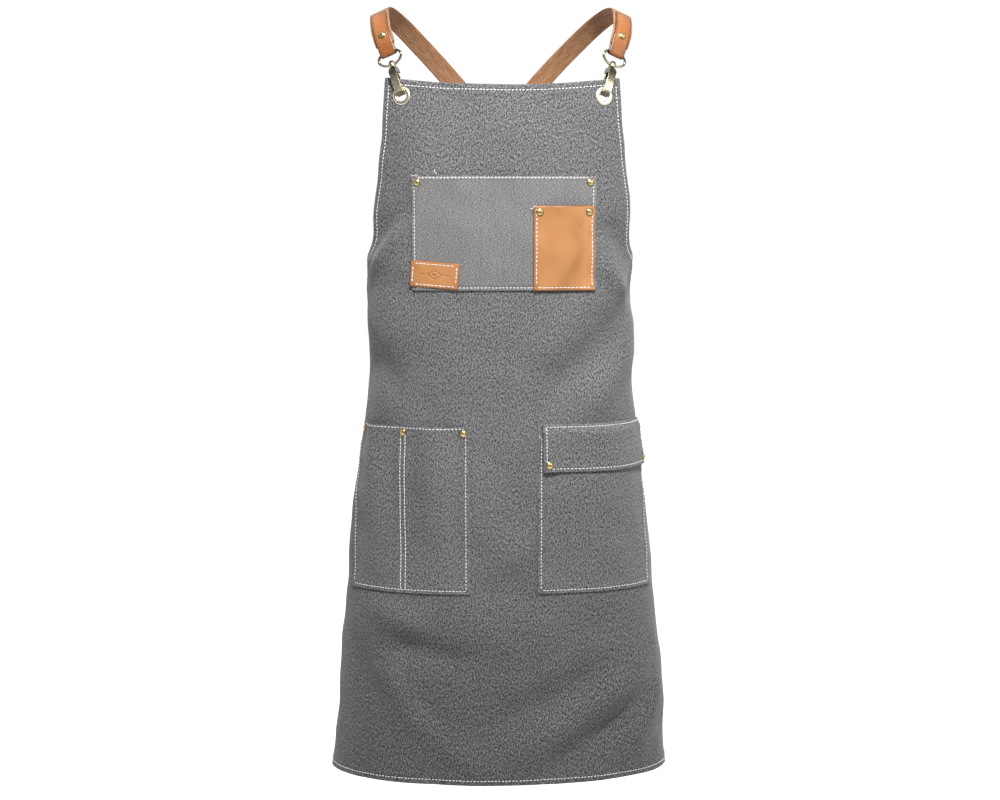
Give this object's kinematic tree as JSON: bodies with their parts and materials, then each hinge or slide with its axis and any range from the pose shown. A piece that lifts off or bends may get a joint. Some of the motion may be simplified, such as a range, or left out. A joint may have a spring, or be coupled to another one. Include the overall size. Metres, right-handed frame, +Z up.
{
  "type": "work apron",
  "caption": "Worn-shape denim bib apron with chest, pen and hip pockets, a flap, cross-back webbing straps, leather tabs and swivel snap hooks clipped into brass grommets.",
  "frame": {"origin": "midway between the two shoulder straps' highest points, where the wearer's shoulders carry the apron", "axes": "+Z up, +Y from the apron's front to the wearer's back, +X to the right as seen from the front"},
  "size_m": [0.422, 0.2322, 0.9496],
  "materials": {
    "denim": "washed grey twill",
    "pocket_denim": "lighter washed twill",
    "leather": "smooth vegetable tanned",
    "strap_leather": "smooth with dark painted edges",
    "webbing": "woven cotton webbing",
    "grommet_brass": "pale polished",
    "antique_brass": "antiqued",
    "spring_steel": "drawn wire"
  },
  "bodies": {
    "apron": {"front_panel": "denim", "chest_pocket": "pocket_denim", "pen_pocket": "leather", "leather_patch": "leather", "left_hip_pocket": "denim", "right_hip_pocket": "denim", "left_strap_tab": "strap_leather", "right_strap_tab": "strap_leather", "left_strap_webbing": "webbing", "right_strap_webbing": "webbing", "chest_pocket_rivet_left": "antique_brass", "chest_pocket_rivet_right": "antique_brass", "pen_pocket_rivet_left": "antique_brass", "pen_pocket_rivet_right": "antique_brass", "left_hip_rivet_inner": "antique_brass", "left_hip_rivet_middle": "antique_brass", "left_hip_rivet_outer": "antique_brass", "left_tab_rivet": "antique_brass", "right_tab_rivet": "antique_brass", "bib_left_grommet_eyelet": "grommet_brass", "bib_left_grommet_washer": "grommet_brass", "bib_right_grommet_eyelet": "grommet_brass", "bib_right_grommet_washer": "grommet_brass", "waist_left_grommet_eyelet": "grommet_brass", "waist_left_grommet_washer": "grommet_brass", "waist_right_grommet_eyelet": "grommet_brass", "waist_right_grommet_washer": "grommet_brass"},
    "flap": {"pocket_flap": "denim", "flap_rivet_inner": "antique_brass", "flap_rivet_outer": "antique_brass"},
    "bib_left_eye": {"bib_left_swivel_eye": "antique_brass"},
    "bib_left_hook": {"bib_left_hook_body": "antique_brass", "bib_left_gate_pin": "antique_brass", "bib_left_gate_spring": "spring_steel"},
    "bib_left_gate": {"bib_left_hook_gate": "antique_brass"},
    "bib_right_eye": {"bib_right_swivel_eye": "antique_brass"},
    "bib_right_hook": {"bib_right_hook_body": "antique_brass", "bib_right_gate_pin": "antique_brass", "bib_right_gate_spring": "spring_steel"},
    "bib_right_gate": {"bib_right_hook_gate": "antique_brass"},
    "waist_left_eye": {"waist_left_swivel_eye": "antique_brass"},
    "waist_left_hook": {"waist_left_hook_body": "antique_brass", "waist_left_gate_pin": "antique_brass", "waist_left_gate_spring": "spring_steel"},
    "waist_left_gate": {"waist_left_hook_gate": "antique_brass"},
    "waist_right_eye": {"waist_right_swivel_eye": "antique_brass"},
    "waist_right_hook": {"waist_right_hook_body": "antique_brass", "waist_right_gate_pin": "antique_brass", "waist_right_gate_spring": "spring_steel"},
    "waist_right_gate": {"waist_right_hook_gate": "antique_brass"},
    "left_adjuster": {"left_strap_adjuster": "antique_brass"},
    "right_adjuster": {"right_strap_adjuster": "antique_brass"}
  },
  "joints": [
    {"name": "bib_left_eye_swing", "type": "hinge", "parent": "apron", "child": "bib_left_eye", "pos_m": [-0.13678, -0.06482, -0.054], "axis": [0.874, -0.3118, 0.3726], "range_deg": [-0.8, 0.8]},
    {"name": "bib_left_hook_swivel", "type": "hinge", "parent": "bib_left_eye", "child": "bib_left_hook", "pos_m": [-0.13231, -0.06924, -0.06818], "axis": [-0.2882, 0.2845, 0.9143], "range_deg": [-5, 5]},
    {"name": "bib_left_gate_hinge", "type": "hinge", "parent": "bib_left_hook", "child": "bib_left_gate", "pos_m": [-0.12805, -0.06698, -0.07629], "axis": [-0.874, 0.3118, -0.3726], "range_deg": [0, 5], "stiffness_Nm_per_rad": 0.004, "springref_deg": -20.05},
    {"name": "bib_right_eye_swing", "type": "hinge", "parent": "apron", "child": "bib_right_eye", "pos_m": [0.13678, -0.06482, -0.054], "axis": [0.874, 0.3118, -0.3726], "range_deg": [-0.8, 0.8]},
    {"name": "bib_right_hook_swivel", "type": "hinge", "parent": "bib_right_eye", "child": "bib_right_hook", "pos_m": [0.13231, -0.06924, -0.06818], "axis": [0.2882, 0.2845, 0.9143], "range_deg": [-5, 5]},
    {"name": "bib_right_gate_hinge", "type": "hinge", "parent": "bib_right_hook", "child": "bib_right_gate", "pos_m": [0.12805, -0.06698, -0.07629], "axis": [-0.874, -0.3118, 0.3726], "range_deg": [0, 5], "stiffness_Nm_per_rad": 0.004, "springref_deg": -20.05},
    {"name": "waist_left_eye_swing", "type": "hinge", "parent": "apron", "child": "waist_left_eye", "pos_m": [-0.07825, 0.09218, -0.36257], "axis": [-0.9146, -0.2711, 0.3001], "range_deg": [-0.8, 0.8]},
    {"name": "waist_left_hook_swivel", "type": "hinge", "parent": "waist_left_eye", "child": "waist_left_hook", "pos_m": [-0.0825, 0.09018, -0.37734], "axis": [0.2745, 0.1286, 0.9529], "range_deg": [-5, 5]},
    {"name": "waist_left_gate_hinge", "type": "hinge", "parent": "waist_left_hook", "child": "waist_left_gate", "pos_m": [-0.08321, 0.08439, -0.38475], "axis": [0.9146, 0.2711, -0.3001], "range_deg": [0, 5], "stiffness_Nm_per_rad": 0.004, "springref_deg": -20.05},
    {"name": "waist_right_eye_swing", "type": "hinge", "parent": "apron", "child": "waist_right_eye", "pos_m": [0.07825, 0.09218, -0.36257], "axis": [-0.9146, 0.2711, -0.3001], "range_deg": [-0.8, 0.8]},
    {"name": "waist_right_hook_swivel", "type": "hinge", "parent": "waist_right_eye", "child": "waist_right_hook", "pos_m": [0.0825, 0.09018, -0.37734], "axis": [-0.2745, 0.1286, 0.9529], "range_deg": [-5, 5]},
    {"name": "waist_right_gate_hinge", "type": "hinge", "parent": "waist_right_hook", "child": "waist_right_gate", "pos_m": [0.08321, 0.08439, -0.38475], "axis": [0.9146, -0.2711, 0.3001], "range_deg": [0, 5], "stiffness_Nm_per_rad": 0.004, "springref_deg": -20.05},
    {"name": "flap_hinge", "type": "hinge", "parent": "apron", "child": "flap", "pos_m": [0.12555, -0.07777, -0.49541], "axis": [-0.8744, -0.4851, 0], "range_deg": [0, 75]},
    {"name": "left_adjuster_slide", "type": "slide", "parent": "apron", "child": "left_adjuster", "axis": [-0.2745, 0.1286, 0.9529], "range_m": [-0.03, 0.03]},
    {"name": "right_adjuster_slide", "type": "slide", "parent": "apron", "child": "right_adjuster", "axis": [0.2745, 0.1286, 0.9529], "range_m": [-0.03, 0.03]}
  ]
}
